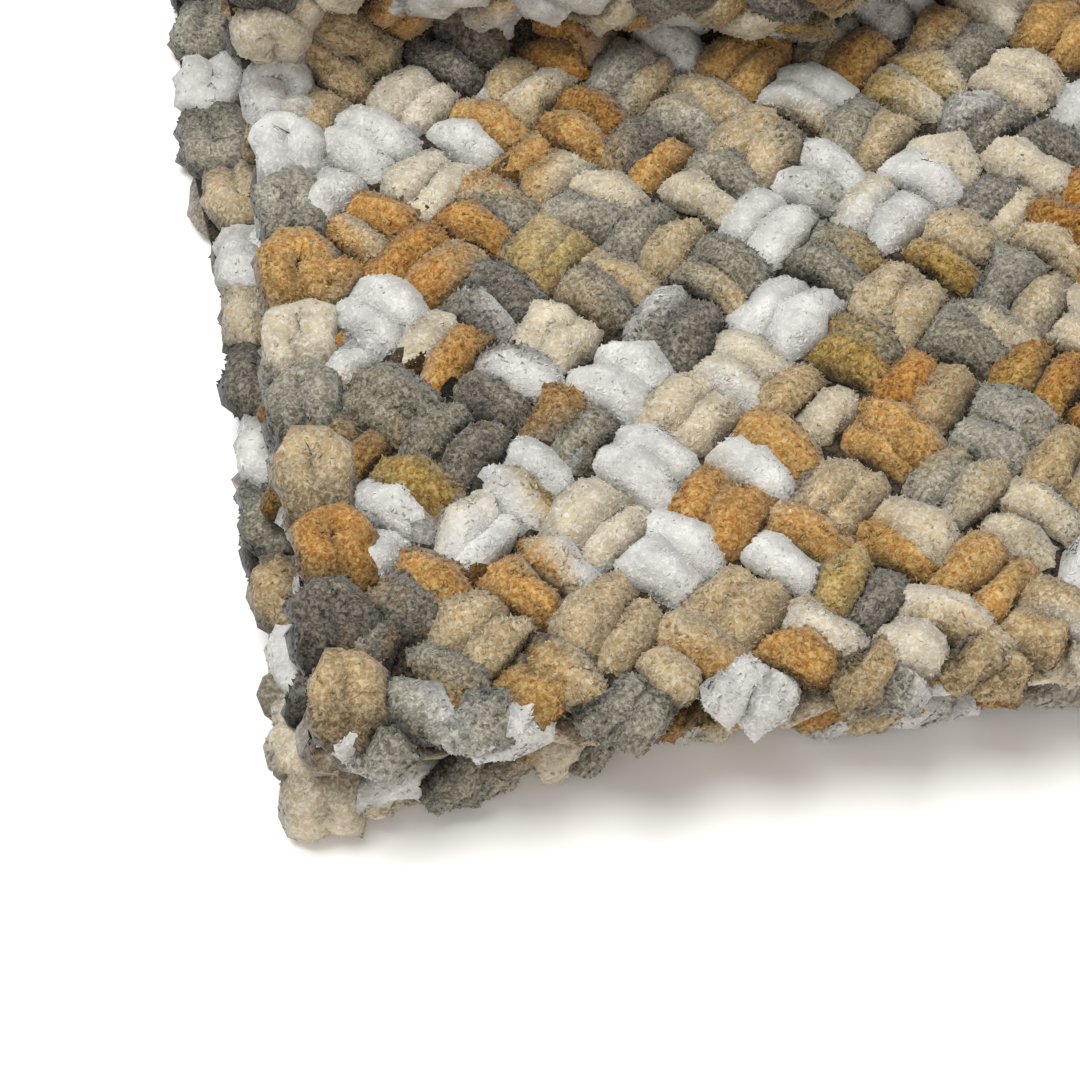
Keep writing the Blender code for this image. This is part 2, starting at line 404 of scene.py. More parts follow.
def strand_mesh(name, strands, rng, pile=0, sides=8, fluff=1.0):
    """Closed tubes along many paths at once, with as many curls on each as pile says. At each ring,
    a point at angle a is the middle plus cos(a) times the half width along the side direction and
    sin(a) times the half depth along the lift direction; each ring and each radius is varied a
    little, and each end closes on one pole. The colour turns from the dye's own to a painted shade
    of it, as at the pile's foot, by how deep in a crease the point lies, and the poles take a
    darker painted shade still. Where fluff is under one the curls stand lower."""
    path, up = strands["path"], strands["up"]
    n, rings = path.shape[:2]
    places, plump = (LEG_RINGS, LEG_PLUMP) if rings == len(LEG_RINGS) else (LOOP_RINGS, LOOP_PLUMP)
    along = unit(np.gradient(path, axis=1))
    side = unit(np.cross(along, up))
    lift = np.cross(side, along)
    swell = (plump * (1 + vary(rng, UNEVEN_RING, n, rings)))[..., None]
    side = side * strands["wide"][..., None] * swell
    lift = lift * strands["deep"][..., None] * swell
    angle = np.arange(sides) * 2 * math.pi / sides
    size = 1 + vary(rng, UNEVEN_SIDE, n, rings, sides)
    body = np.cos(angle)[:, None] * side[:, :, None] + np.sin(angle)[:, None] * lift[:, :, None]
    body = (path[:, :, None] + body * size[..., None])[:, 1:-1]
    out = unit(body - path[:, 1:-1, None])
    points = np.concatenate([body.reshape(n, -1, 3), path[:, :1], path[:, -1:]], 1)
    facing = np.concatenate([out.reshape(n, -1, 3), -along[:, :1], along[:, -1:]], 1)
    tilt = rng.uniform(0, 2 * math.pi, (n, 1))
    dye = dye_at(strands["yarn"][:, :, None] + DYE_TWIST * np.cos(angle + tilt[..., None]))
    dye = dye * (1 + vary(rng, UNEVEN_DYE, n, rings, 1, 1))
    # painted shade at the poles, where the ends dive under the neighbours: half the pile's shaded
    # colour
    ends = painted_pile_shade(dye[:, (0, -1), 0]) / 2
    # painted crease shade: the dye darkened down the strand's sides and towards its ends
    low = crease_shade_share(angle, places[1:-1, None])[..., None]
    dye = dye[:, 1:-1] * (1 - low) + painted_pile_shade(dye[:, 1:-1]) * low
    colours = np.concatenate([dye.reshape(n, -1, 3), ends], 1)
    count = points.shape[1]

    i, j = np.meshgrid(np.arange(rings - 3), np.arange(sides), indexing="ij")
    turn = (j + 1) % sides
    here, ahead = i * sides, (i + 1) * sides
    walls = np.stack([here + j, ahead + j, ahead + turn, here + turn], -1).reshape(-1, 4)
    j = np.arange(sides)
    turn = (j + 1) % sides
    final = (rings - 3) * sides
    caps = np.concatenate([
        np.stack([np.full(sides, count - 2), j, turn], -1),
        np.stack([np.full(sides, count - 1), final + turn, final + j], -1),
    ])
    starts = (np.arange(n) * count)[:, None, None]
    loops = np.concatenate([(part + starts).reshape(n, -1) for part in (walls, caps)], 1).ravel()
    sizes = np.tile(np.concatenate([np.full(len(walls), 4), np.full(len(caps), 3)]), n)
    points, facing, colours = points.reshape(-1, 3), facing.reshape(-1, 3), colours.reshape(-1, 3)
    if pile:
        more, outwards, dyes = curls(strands, side, lift, body, places, pile, fluff, tilt, rng)
        feet = len(points) + 4 * np.arange(len(more) // 4)[:, None, None]
        corners = np.array([(0, 1, 2), (0, 2, 3), (0, 3, 1), (3, 2, 1)])
        loops = np.concatenate([loops, (feet + corners).ravel()])
        sizes = np.concatenate([sizes, np.full(len(more), 3)])
        points = np.concatenate([points, more])
        facing = np.concatenate([facing, outwards])
        colours = np.concatenate([colours, dyes])
    points[:, 2] = np.maximum(points[:, 2], FLOOR_ROOM)
    return raw_mesh(name, points, loops, sizes, colours, facing)


def curls(strands, side, lift, body, places, pile, fluff, tilt, rng):
    """Curls of pile lying every way on the strands, each a pyramid on three feet sunk in the
    strand, with its tip leaning along the curl. Their places are spread evenly over the strand's
    own (reach, angle) by adding the golden ratio's fraction at each step, and then moved a little.
    A tip's height is CURL_STANDS times the fluff, times CURL_FLUFFY less the square of the dye's
    brightness, so that white pile lies smoothest. The pile's shading faces out from the strand, as
    soft pile's does, and not as each pyramid's own sides. The curls carry the painted crease shade,
    their feet a painted shade darker than the tips, and the tips a painted highlight; the feet are
    least dark in white, where light comes through."""
    n, rings, sides = body.shape[:3]
    step = (np.arange(pile) + rng.random((n, pile))) / pile
    spread = np.arange(pile) * GOLDEN + rng.random((n, 1))
    spread = (spread + CURL_STRAYS * rng.standard_normal((n, pile))) % 1
    first, last, reach = (strands["arc"][:, c, None] for c in range(3))
    u = (2 * step - 1) * reach
    ring = np.clip(np.interp(u, places, np.arange(len(places))), 1, rings - 0.001)
    angle = np.radians(first + (last - first) * spread)
    i = ring.astype(int)
    v = ring - i
    row = np.arange(n)[:, None]

    def at_ring(values):
        w = v[..., None] if values.ndim == 3 else v
        return values[row, i] * (1 - w) + values[row, i + 1] * w

    w, d = at_ring(side), at_ring(lift)
    c, s = np.cos(angle)[..., None], np.sin(angle)[..., None]
    out = unit(w * c / (w * w).sum(-1, keepdims=True) + d * s / (d * d).sum(-1, keepdims=True))
    turn = angle / (2 * math.pi) * sides
    j = np.floor(turn).astype(int)
    a, b, t = j % sides, (j + 1) % sides, (turn - j)[..., None]
    low, high = (body[row, r, a] * (1 - t) + body[row, r, b] * t for r in (i - 1, i))
    spot = low * (1 - v[..., None]) + high * v[..., None]
    lies = unit(np.cross(out, rng.standard_normal((n, pile, 3))))
    over = np.cross(out, lies)

    def between(low, high):
        return rng.uniform(low, high, (n, pile, 1))

    half = CURL_LONG / 2 * between(*CURL_SIZES)
    broad = CURL_WIDE * between(*CURL_SIZES)
    spokes = [lies * (half * math.cos(a)) + over * (broad * math.sin(a)) for a in CURL_FEET]
    yarn = at_ring(strands["yarn"]) + CURL_DYE_STRAYS * rng.standard_normal((n, pile))
    dye = dye_at(yarn + DYE_TWIST * np.cos(angle + tilt))
    fluffy = CURL_FLUFFY - dye.mean(-1, keepdims=True) ** 2
    tip = out * CURL_STANDS * fluff * fluffy * between(*CURL_HEIGHTS) + lies * half * between(-1, 1)
    points = spot[:, :, None] + np.stack([tip] + [spoke - out * CURL_SUNK for spoke in spokes], 2)
    facing = np.stack([out] + [out + unit(spoke) for spoke in spokes], 2)
    # painted shade in the creases and at the curls' feet, and a painted highlight on their tips
    low = crease_shade_share(angle, u)[..., None]
    tip = (dye * (1 - low) + painted_pile_shade(dye) * low) * between(*CURL_TONES)
    foot = (FOOT_DARK + FOOT_WHITE * dye.mean(-1, keepdims=True) ** 2) * tip
    dyes = np.stack([tip * between(*CURL_TIP_TONES), foot, foot, foot], 2)
    return points.reshape(-1, 3), unit(facing).reshape(-1, 3), np.clip(dyes, 0, 1).reshape(-1, 3)


def raw_mesh(name, points, loops, sizes, colours, facing):
    """A mesh from whole arrays of points, corners and face sizes, with the colour, which is the dye
    with its painted shade and highlights, and the way its shading faces kept at each point."""
    mesh = bpy.data.meshes.new(name)
    mesh.vertices.add(len(points))
    mesh.vertices.foreach_set("co", points.astype(np.float32).ravel())
    mesh.loops.add(len(loops))
    mesh.loops.foreach_set("vertex_index", loops.astype(np.int32))
    starts = np.concatenate([[0], np.cumsum(sizes)[:-1]])
    mesh.polygons.add(len(sizes))
    mesh.polygons.foreach_set("loop_start", starts.astype(np.int32))
    mesh.polygons.foreach_set("loop_total", sizes.astype(np.int32))
    mesh.update(calc_edges=True)
    # the dye attribute holds the dye with the painted shade and highlights mixed in
    dye = mesh.attributes.new("dye", "FLOAT_COLOR", "POINT")
    rgba = np.concatenate([REFLECTED * colours, np.ones((len(colours), 1))], 1)
    dye.data.foreach_set("color", rgba.astype(np.float32).ravel())
    mesh.shade_smooth()
    mesh.normals_split_custom_set_from_vertices(facing.astype(np.float32))
    return mesh


def piece(name, mesh, material):
    """A finished piece: it rides on the one body, the blanket's solid is hidden, and it takes the
    yarn's finish."""
    thing = bpy.data.objects.new(name, mesh)
    bpy.context.scene.collection.objects.link(thing)
    mesh.materials.append(material)
    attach(thing, "root")
    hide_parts("blanket")
    return thing


# ---------------------------------------------------------------- plaited stitches

LEG_REACH = 0.86  # half a leg's length, in diagonal steps
LEG_APART = 0.225  # from a cell's middle to each of its two legs
LEG_CLOSER = 0.03  # how much nearer its middle each leg's ends are
LEG_RISE = 4.8 * MM
LEG_RISE_TO = 0.95  # the furthest diagonal step at which a leg still dives
LEG_WIDE = 5.9 * MM  # half a leg's width, and its half depth
LEG_DEEP = 4.5 * MM
LEG_TAPER = 0.2  # how much thinner its ends are, growing as the cube of the way along
LEG_IN_HOLLOW = -0.6  # the power by which legs are shorter where the middle surface is longer
# Legs lie lower under the side chains: by how much a column, from which column, over how many
UNDER_CHAIN, UNDER_CHAIN_FROM, UNDER_CHAIN_WIDE = 4.0 * MM, -0.7, 0.5
FIRST_EDGE, LAST_EDGE = -FIRST_ROW / ROW, ROWS - 1 + LAST_ROW / ROW  # near edges' middle lines
EDGE_REACH = 7.0 * MM  # the radius at which rows keep their pitch as they go round a near edge
EDGE_LIFT, EDGE_LIFT_BY = 1.6 * MM, 2.0 * MM  # how much higher they lie there, and by how far past
# The least radius there: it rises from the second measure to the first by the third past the edge
EDGE_LEAST, EDGE_LEAST_FROM, EDGE_LEAST_BY = 3.0 * MM, -6.0 * MM, 4.0 * MM
INNER_PILE, OUTER_PILE = 38, -16  # the angles, in degrees, between which a leg's pile shows
LEG_PILE_REACH = 0.74  # and how far along it the pile goes
# How much legs differ: in length and place, way apart, turn and bow, height, width and depth
LEG_VARY_LONG, LEG_VARY_PLACE = 0.05, 0.08
LEG_VARY_APART, LEG_VARY_TURN, LEG_VARY_BOW = 0.03, 0.07, 0.04
LEG_VARY_HEIGHT, LEG_VARY_WIDE, LEG_VARY_DEEP = 0.5 * MM, 0.08, 0.07
CELL_VARY_PLACE, CELL_VARY_TURN = 0.04, 0.05  # and both legs of a cell together
YARN_A_ROW = 14  # how much yarn a row takes, in stitches
LEG_YARN_APART, LEG_YARN_RUN = 0.25, 0.24  # from a cell's yarn to a leg's, and half the leg's own


def yarn_place(s, k):
    """Where a stitch is along the yarn, in stitches: row after row, one to the right, the next
    back."""
    step = s / 2
    return YARN_A_ROW * (k + 1) + np.where(k % 2 == 0, step, YARN_A_ROW - 1 - step)


def strand_set(s, k, lift, face, wide, deep, yarn, arc, up=None):
    """The strands of a piece as arrays, one row a strand and one column a ring."""
    rings = s.shape[-1]
    s, k, lift, wide, deep, yarn = (
        np.broadcast_to(a, s.shape).reshape(-1, rings) for a in (s, k, lift, wide, deep, yarn)
    )
    path = on_cloth(s, k, face * lift)
    if up is None:
        up = face * unit(read_grid(NORMAL, s, k))
    arc = np.broadcast_to(arc, (len(s), 3))
    return {"path": path, "up": up, "wide": wide, "deep": deep, "yarn": yarn, "arc": arc}


def together(*sets):
    """Several sets of strands as one."""
    return {key: np.concatenate([one[key] for one in sets]) for key in sets[0]}


def round_the_edge(k, lift):
    """Rows past a near edge go on round it: the angle is the way past the edge over EDGE_REACH,
    the radius is the lift, and the new row and lift are the radius times that angle's sine and
    cosine. The radius is kept above a least one, which rises to EDGE_LEAST, so that no strand
    dives through the edge's middle line."""
    past = np.maximum(np.maximum(FIRST_EDGE - k, k - LAST_EDGE), 0) * ROW
    angle = past / EDGE_REACH
    radius = lift + EDGE_LIFT * np.clip(past / EDGE_LIFT_BY, 0, 1)
    least = EDGE_LEAST_FROM + (EDGE_LEAST - EDGE_LEAST_FROM) * np.clip(past / EDGE_LEAST_BY, 0, 1)
    radius = np.maximum(radius, least)
    k = np.clip(k, FIRST_EDGE, LAST_EDGE) + np.sign(k - ROWS / 2) * radius * np.sin(angle) / ROW
    return k, np.where(past > 0, radius * np.cos(angle), lift)


def plaited_legs(cells, face, rng):
    """The two legs of each cell. A leg runs along one diagonal, s = s0 + p + q and k = k0 +
    lean(p - q), where p goes from -LEG_REACH to LEG_REACH and q is its place beside the other;
    its height is LEG_RISE times the cosine of pi p, so that it dives under its neighbours at both
    ends. In a hollow, where the middle surface is longer than the outer face, the legs are
    shorter; at the side edges they lie lower, under the chain."""
    n = len(cells)
    s0, k0, lean = (cells[:, i, None, None] for i in range(3))
    which = np.array([-1.0, 1.0])[None, :, None]
    u = LEG_RINGS[None, None, :]
    each, both = (n, 2, 1), (n, 1, 1)
    before, after = (read_grid(SURFACE, s0, k0 + half) for half in (-0.5, 0.5))
    apart = np.linalg.norm(after - before, axis=-1) / ROW
    reach = LEG_REACH * np.clip(apart, 1, 2) ** LEG_IN_HOLLOW
    p = reach * u * (1 + vary(rng, LEG_VARY_LONG, *each)) + vary(rng, LEG_VARY_PLACE, *each)
    q = which * (LEG_APART - LEG_CLOSER * u**2)
    q = q + vary(rng, LEG_VARY_APART, *each) + vary(rng, LEG_VARY_TURN, *each) * p
    q = q + vary(rng, LEG_VARY_BOW, *each) * (1 - u**2)
    q = q + vary(rng, CELL_VARY_PLACE, *both) + vary(rng, CELL_VARY_TURN, *both) * p
    s = s0 + p + q
    k = k0 + face * lean * (p - q)
    lift = LEG_RISE * np.cos(math.pi * np.clip(p, -LEG_RISE_TO, LEG_RISE_TO))
    lift = lift + vary(rng, LEG_VARY_HEIGHT, *each)
    beside = UNDER_CHAIN_FROM - np.minimum(s, STITCHES - s)
    lift = lift - UNDER_CHAIN * np.clip(beside, 0, UNDER_CHAIN_WIDE)
    high_k, high_lift = round_the_edge(k, lift + MM)
    k, lift = round_the_edge(k, lift)
    taper = 1 - LEG_TAPER * np.abs(u) ** 3
    wide = LEG_WIDE * (1 + vary(rng, LEG_VARY_WIDE, *each)) * taper
    deep = LEG_DEEP * (1 + vary(rng, LEG_VARY_DEEP, *each)) * taper
    yarn = yarn_place(s0, k0) + LEG_YARN_APART * which + LEG_YARN_RUN * u * which
    outer = np.tile([-1, 1], n) * np.repeat(cells[:, 2] * face, 2)
    first = np.where(outer > 0, OUTER_PILE, INNER_PILE)
    last = np.where(outer > 0, 180 - INNER_PILE, 180 - OUTER_PILE)
    arc = np.stack([first, last, np.full(2 * n, LEG_PILE_REACH)], -1)
    up = unit(on_cloth(s, high_k, face * high_lift) - on_cloth(s, k, face * lift))
    return strand_set(s, k, lift, face, wide, deep, yarn, arc, up.reshape(2 * n, -1, 3))


def cells_in(k_from, k_to, lean, columns=range(-1, STITCHES + 2)):
    """The cells of one lean as (s, k, lean): s and k are both odd for the stitches that lean
    right, and both even for those that lean left."""
    odd = lean > 0
    return np.array([
        (s, k, lean)
        for k in range(k_from, k_to)
        for s in columns
        if s % 2 == odd and k % 2 == odd
    ], float)


# ---------------------------------------------------------------- chained side edges

CHAIN_PITCH = 18.0 * MM  # from one edge stitch to the next
CHAIN_IN = 8.2 * MM  # from the side edge to the chain's middle
CHAIN_TURN = 3.9 * MM  # the radius of a stitch's round head
CHAIN_LEG = 15.0 * MM
CHAIN_NARROWS = 0.12  # how much nearer each other the two legs come on their way down
CHAIN_THICK = 5.3 * MM  # half a strand's thickness
CHAIN_SWELL = 0.05  # and how much thicker the head is
CHAIN_LINE = 3  # how far off the middle surface the chain's own line runs, in millimetres
CHAIN_AHEAD = 3.0 * MM  # from a stitch's start to the middle of its head's circle
CHAIN_LOW, CHAIN_RISE, CHAIN_NOSE = 0.4 * MM, 5.0 * MM, 0.8 * MM  # feet, head, the head's low tip
CHAIN_PRESSED = 0.5  # the thinnest that a bend may press a strand, as a share
# How much its stitches differ: in their heads' radius and place, in height and lean, in length
# and thickness
CHAIN_VARY_TURN, CHAIN_VARY_IN, CHAIN_VARY_AHEAD = 0.06, 0.6 * MM, 0.7 * MM
CHAIN_VARY_HEIGHT, CHAIN_VARY_LEAN = 0.4 * MM, 0.08
CHAIN_VARY_LONG, CHAIN_VARY_THICK = 0.05, 0.05
CHAIN_YARN, CHAIN_YARN_RIGHT, CHAIN_YARN_UNDER = 1000, 300, 100  # where each is along the yarn
CHAIN_YARN_RUN = 0.45  # half the yarn that a stitch takes, in stitches
CHAIN_ARC = (-35.0, 215.0, 0.97)  # the two angles between which the pile shows, and its reach


def side_chain(right, face, k_from, k_to, rng):
    """Edge stitches, each one strand in the shape of a hoop: up one leg, half a circle round the
    head at the far end, and down the other leg. The head lies on the legs of the next stitch, so
    the height falls from the head to the feet as a cosine of the way down. Distances are measured
    along the chain's own line, off the middle surface, and read back as rows. On the inside of a
    bend, where that line is shorter than the middle surface's, a strand is thinner by the ratio
    of the two and lies lower by that ratio's square."""
    middle = (CHAIN_IN - SELVEDGE) / STITCH
    middle = STITCHES - middle if right else middle
    rows = np.arange(K_FROM, K_TO, GRID_K)
    lines = (on_cloth(middle, rows, np.array(face * height * MM)) for height in (CHAIN_LINE, 0))
    steps, inner = (np.linalg.norm(np.diff(line, axis=0), axis=-1) for line in lines)
    run = np.concatenate([[0], np.cumsum(steps)])
    first, last = np.interp((k_from, k_to), rows, run)
    start = np.arange(first, last, CHAIN_PITCH)[:, None]
    n = len(start)
    half = CHAIN_LEG + CHAIN_TURN * math.pi / 2
    way = LOOP_RINGS[None, :] * half
    turn = np.clip(way / CHAIN_TURN, -math.pi / 2, math.pi / 2)
    down = np.clip(np.abs(way) - CHAIN_TURN * math.pi / 2, 0, None)
    radius = CHAIN_TURN * (1 + vary(rng, CHAIN_VARY_TURN, n, 1)) - CHAIN_NARROWS * down
    across = CHAIN_IN + radius * np.sin(turn) + vary(rng, CHAIN_VARY_IN, n, 1)
    across = across - vary(rng, CHAIN_VARY_LEAN, n, 1) * down
    forward = CHAIN_AHEAD + CHAIN_TURN * np.cos(turn)
    forward = forward - down * (1 + vary(rng, CHAIN_VARY_LONG, n, 1))
    forward = forward + vary(rng, CHAIN_VARY_AHEAD, n, 1)
    if right:
        across = WIDTH - across
    s = (across - SELVEDGE) / STITCH
    share = np.clip(down / CHAIN_LEG, 0, 1)
    lift = CHAIN_LOW + CHAIN_RISE * np.cos(share * math.pi / 2) - CHAIN_NOSE * np.cos(turn)
    lift = lift + vary(rng, CHAIN_VARY_HEIGHT, n, 1)
    k = np.interp(start + forward, run, rows)
    pressed = np.interp(k, rows[1:], np.clip(steps / inner, CHAIN_PRESSED, 1))
    lift = lift * pressed**2
    high_k, high_lift = round_the_edge(k, lift + MM)
    k, lift = round_the_edge(k, lift)
    up = unit(on_cloth(s, high_k, face * high_lift) - on_cloth(s, k, face * lift))
    thick = CHAIN_THICK * pressed * (1 + vary(rng, CHAIN_VARY_THICK, n, 1))
    thick = thick * (1 + CHAIN_SWELL * np.cos(turn))
    yarn = CHAIN_YARN + np.arange(n)[:, None] + CHAIN_YARN_RIGHT * right
    yarn = yarn + CHAIN_YARN_UNDER * (face < 0) + CHAIN_YARN_RUN * LOOP_RINGS
    return strand_set(s, k, lift, face, thick, thick, yarn, CHAIN_ARC, up)


# ---------------------------------------------------------------- roped near edges

ROPE_LONG = 12.0 * MM  # half a strand's length
ROPE_RADIUS = 4.4 * MM
ROPE_ENDS, ROPE_MIDDLE, ROPE_ARCH = 0.35, 0.8, 0.7  # the radius's shares, and the power of its arch
ROPE_TURN = 30  # how far round the edge each half of a strand turns, in degrees
ROPE_THICK = 4.3 * MM  # half a strand's thickness
ROPE_TAPER = 0.1  # how much thinner its ends are
ROPE_ARC = (-20.0, 200.0, 0.97)
ROPE_FROM, ROPE_TO = -1.75, STITCHES + 1.75  # where the ropes end, in columns
ROPE_SHIFT = 0.25  # how far the lower rope's strands lie to the right of the upper's, in columns
ROPE_YARN, ROPE_YARN_LOWER, ROPE_YARN_RUN = 1800, 200, 0.3  # where each rope is on its yarn
# How much its strands differ: in place, length, angle in degrees, radius and thickness
ROPE_VARY_PLACE, ROPE_VARY_LONG, ROPE_VARY_ANGLE = 0.12, 0.12, 9.0
ROPE_VARY_RADIUS, ROPE_VARY_THICK = 0.5 * MM, 0.06


def edge_rope(lower, tilt, rng):
    """Strands lying one over the next along a near edge, each leaning up to the right. A strand
    goes round the edge's middle line at a radius that is greatest halfway along it; its angle
    round the edge rises from one end to the other."""
    count = STITCHES + 3
    which = np.arange(count)[:, None] - 1.0
    u = LEG_RINGS[None, :]
    s = which + 0.5 + ROPE_SHIFT * lower + vary(rng, ROPE_VARY_PLACE, count, 1)
    s = s + ROPE_LONG / STITCH * u * (1 + vary(rng, ROPE_VARY_LONG, count, 1))
    s = np.clip(s, ROPE_FROM, ROPE_TO)
    angle = np.radians(tilt + ROPE_TURN * u + vary(rng, ROPE_VARY_ANGLE, count, 1))
    radius = ROPE_RADIUS * (ROPE_ENDS + ROPE_MIDDLE * np.cos(math.pi / 2 * u) ** ROPE_ARCH)
    radius = radius + vary(rng, ROPE_VARY_RADIUS, count, 1)
    edge = (near_edge("upper", SELVEDGE + s * STITCH) - FIRST_ROW) / ROW
    out, rise = radius * np.cos(angle), radius * np.sin(angle)
    if lower:
        edge = np.full_like(s, LAST_EDGE)
        k, lift = edge + out / ROW, -rise
    else:
        k, lift = edge - out / ROW, rise
    thick = ROPE_THICK * (1 + vary(rng, ROPE_VARY_THICK, count, 1))
    thick = thick * (1 - ROPE_TAPER * np.abs(u) ** 3)
    yarn = ROPE_YARN + ROPE_YARN_LOWER * lower + which + 0.5 + ROPE_YARN_RUN * u
    away = unit(on_cloth(s, k, lift) - on_cloth(s, edge, 0 * s))
    return strand_set(s, k, lift, 1, thick, thick, yarn, ROPE_ARC, away)


# ---------------------------------------------------------------- the cloth's body

BODY_HALF = 3.6 * MM  # half its thickness
BODY_ROUNDED = 6.0 * MM  # how far in from the side edges its rim is rounded
BODY_SIDE = np.array([1.0, 2.2, 5.0])  # its first points across, in millimetres from a side edge
BODY_STEP, BODY_ROW_STEP = 10.5, 0.45  # and its steps after them, in millimetres and in rows


def cloth_body():
    """The inner yarn as one closed sheet, coloured a dark painted shade that shows in the gaps
    between the stitches: the middle surface plus and minus the half thickness times the square root
    of one less the square of how near a side edge is, so that its rim is rounded."""
    # columns and rows of points, closest together by the rim
    wide = WIDTH / MM
    across = np.arange(12.0, wide - 11, BODY_STEP)
    across = np.concatenate([BODY_SIDE, across, wide - BODY_SIDE[::-1]]) * MM
    s = (across - SELVEDGE) / STITCH
    k = np.arange(0.25, ROWS - 1.2, BODY_ROW_STEP)
    k = np.concatenate([[-0.22, -0.12], k, [ROWS - 0.9, ROWS - 0.8]])
    s, k = np.meshgrid(s, k, indexing="ij")
    inner = np.minimum(np.minimum(across, WIDTH - across), BODY_ROUNDED)[:, None] / BODY_ROUNDED
    half = BODY_HALF * np.sqrt(1 - (1 - inner) ** 2) + 0 * k
    top, under = on_cloth(s, k, half), on_cloth(s, k, -half)
    m, n = s.shape
    points = np.concatenate([top.reshape(-1, 3), under.reshape(-1, 3)])
    i, j = np.meshgrid(np.arange(m - 1), np.arange(n - 1), indexing="ij")
    a = (i * n + j).ravel()
    upper = np.stack([a, a + n, a + n + 1, a + 1], -1)
    lower = upper[:, ::-1] + m * n
    ring = np.concatenate([
        np.arange(m) * n,
        (m - 1) * n + np.arange(1, n),
        np.arange(m - 2, -1, -1) * n + n - 1,
        np.arange(n - 2, 0, -1),
    ])
    step = np.roll(ring, -1)
    rim = np.stack([ring, ring + m * n, step + m * n, step], -1)
    faces = np.concatenate([upper, lower, rim])
    colours = np.tile(linear(INNER_SHADE), (len(points), 1))
    facing = unit(read_grid(NORMAL, s, k)).reshape(-1, 3)
    facing = np.concatenate([facing, -facing])
    return raw_mesh("cloth_body", points, faces.ravel(), np.full(len(faces), 4), colours, facing)


# ---------------------------------------------------------------- materials

def add(tree, kind, inputs=None, **settings):
    """One node with its settings; each input is given a value, or the socket that feeds it."""
    made = tree.nodes.new(kind)
    for name, value in settings.items():
        setattr(made, name, value)
    for name, value in (inputs or {}).items():
        if isinstance(value, bpy.types.NodeSocket):
            tree.links.new(value, made.inputs[name])
        else:
            made.inputs[name].default_value = value
    return made


CURLS_A_METRE = 1050.0  # ruffles of pile just under a millimetre across
PATCHES_A_METRE = 190.0  # and the soft light and dark patches on it, about 5 mm across
RUFFLE_DEEP = 1.2 * MM  # how deep the ruffle looks


def chenille(name, gap_shade_most):
    """Chenille yarn: short cut pile of fine polyester standing out all round a core. The eye sees
    soft ruffled curls about a millimetre across with darker gaps between them, no gloss, and a pale
    bloom where the pile is seen edge on. The gaps' shade and the tips' highlight are painted into
    the colour; the bloom is the shader's sheen."""
    made = bpy.data.materials.new(name)
    made.use_nodes = True
    tree = made.node_tree
    shader = tree.nodes["Principled BSDF"]
    where = add(tree, "ShaderNodeTexCoord").outputs["Object"]
    # the dye attribute, with its painted shade and highlights
    dye = add(tree, "ShaderNodeAttribute", attribute_name="dye").outputs["Color"]

    # curls of fibre, ruffled every way
    pile = add(tree, "ShaderNodeTexNoise", {
        "Vector": where, "Scale": CURLS_A_METRE,
        "Detail": 2.0, "Roughness": 0.55, "Distortion": 0.8,
    }).outputs["Fac"]
    # painted shade in the gaps between curls: the dye seen twice over, so that white stays white
    # and others deepen
    full = add(tree, "ShaderNodeVectorMath", {0: dye, "Scale": 1 / REFLECTED}, operation="SCALE")
    again = add(tree, "ShaderNodeGamma", {"Color": full.outputs[0], "Gamma": 1.4})
    gap_shade = add(tree, "ShaderNodeVectorMath", {0: dye, 1: again.outputs[0]}, operation="MULTIPLY")
    depth = add(tree, "ShaderNodeMapRange", {
        "Value": pile, "From Min": 0.36, "From Max": 0.64, "To Min": gap_shade_most, "To Max": 0.0,
    }).outputs[0]
    colour = add(tree, "ShaderNodeMix", {0: depth, 6: dye, 7: gap_shade.outputs[0]}, data_type="RGBA")
    # handling leaves soft light and dark patches, and the curls' tips get a painted highlight where
    # they catch the light
    patches = add(tree, "ShaderNodeTexNoise", {
        "Vector": where, "Scale": PATCHES_A_METRE, "Detail": 2.0,
    }).outputs["Fac"]
    shade = add(tree, "ShaderNodeMapRange", {
        "Value": patches, "From Min": 0.3, "From Max": 0.7, "To Min": 0.78, "To Max": 1.12,
    }).outputs[0]
    tips = add(tree, "ShaderNodeMapRange", {
        "Value": pile, "From Min": 0.5, "From Max": 0.7, "To Min": 1.0, "To Max": 1.2,
    }).outputs[0]
    light = add(tree, "ShaderNodeMath", {0: shade, 1: tips}, operation="MULTIPLY").outputs[0]
    lit = {0: colour.outputs[2], "Scale": light}
    tone = add(tree, "ShaderNodeVectorMath", lit, operation="SCALE")
    tree.links.new(tone.outputs[0], shader.inputs["Base Color"])

    bump = add(tree, "ShaderNodeBump", {"Height": pile, "Strength": 0.35, "Distance": RUFFLE_DEEP})
    tree.links.new(bump.outputs[0], shader.inputs["Normal"])
    shader.inputs["Roughness"].default_value = 0.95
    shader.inputs["Specular IOR Level"].default_value = 0.15
    shader.inputs["Sheen Weight"].default_value = 0.25
    shader.inputs["Sheen Roughness"].default_value = 0.5
    return made


# ---------------------------------------------------------------- making it

KNIT_SEED = 11
FOLD_ROW = 32  # where the outer face turns underneath
# How many curls a strand has: where it is seen close, and elsewhere
FULL_PILE, LIGHT_PILE = 228, 45
EDGE_PILE = 225
LEFT_CHAIN_PILE, RIGHT_CHAIN_PILE, INSIDE_CHAIN_PILE = 300, 170, 60
ROPES_PILE = 200
EDGE_FLUFF = 0.7  # how high the curls stand along the edges, where they show against the floor
PLAIN_SIDES = 6  # flat sides round a strand that is hardly seen
UPPER_TILT, LOWER_TILT = -50, 25  # how far round their edges the two ropes lie, in degrees

yarn = chenille("chenille_yarn_pile", 0.9)
inner_shade_yarn = chenille("chenille_inner_shade_yarn", 1.0)
rng = np.random.default_rng(KNIT_SEED)

